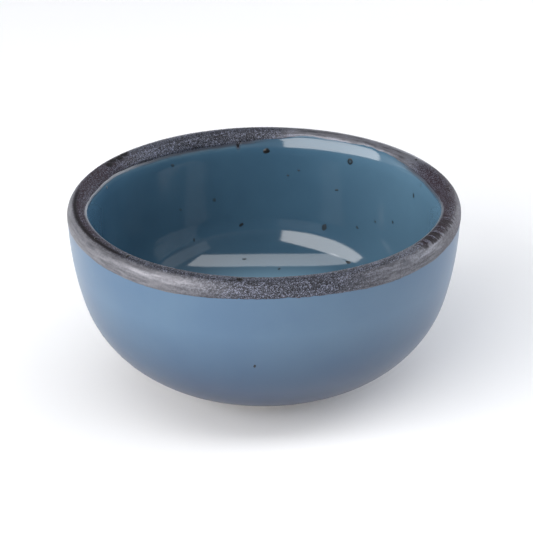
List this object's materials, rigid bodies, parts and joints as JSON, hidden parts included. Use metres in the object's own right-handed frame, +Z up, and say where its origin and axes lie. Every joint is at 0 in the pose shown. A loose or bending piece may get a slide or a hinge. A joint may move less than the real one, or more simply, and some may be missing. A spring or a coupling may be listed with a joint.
{
  "type": "ceramic bowl",
  "caption": "Round glazed stoneware table bowl with a rounded dark speckled rim, a glossy inside, a satin outside and a low bare foot ring.",
  "frame": {"origin": "centre of the foot ring, on the table", "axes": "+Z up along the bowl's axis of turning; -Y is the side that the three-quarter view looks at, +X is to its right"},
  "size_m": [0.12, 0.12, 0.0601],
  "materials": {
    "clay_body": "matte bare stoneware",
    "base_glaze": "satin blue glaze",
    "inner_glaze": "glossy deep blue glaze",
    "outer_glaze": "satin blue glaze",
    "rim_glaze": "dark grey metallic speckled glaze, smooth and silvery where it ran",
    "iron_spots": "black melted iron",
    "rim_spots": "glossy black melted iron"
  },
  "bodies": {
    "root": {"clay_body": "clay_body", "base_glaze": "base_glaze", "inner_glaze": "inner_glaze", "inner_spots": "iron_spots", "outer_glaze": "outer_glaze", "outer_spots": "iron_spots", "rim_glaze": "rim_glaze", "rim_spots": "rim_spots"}
  },
  "joints": []
}
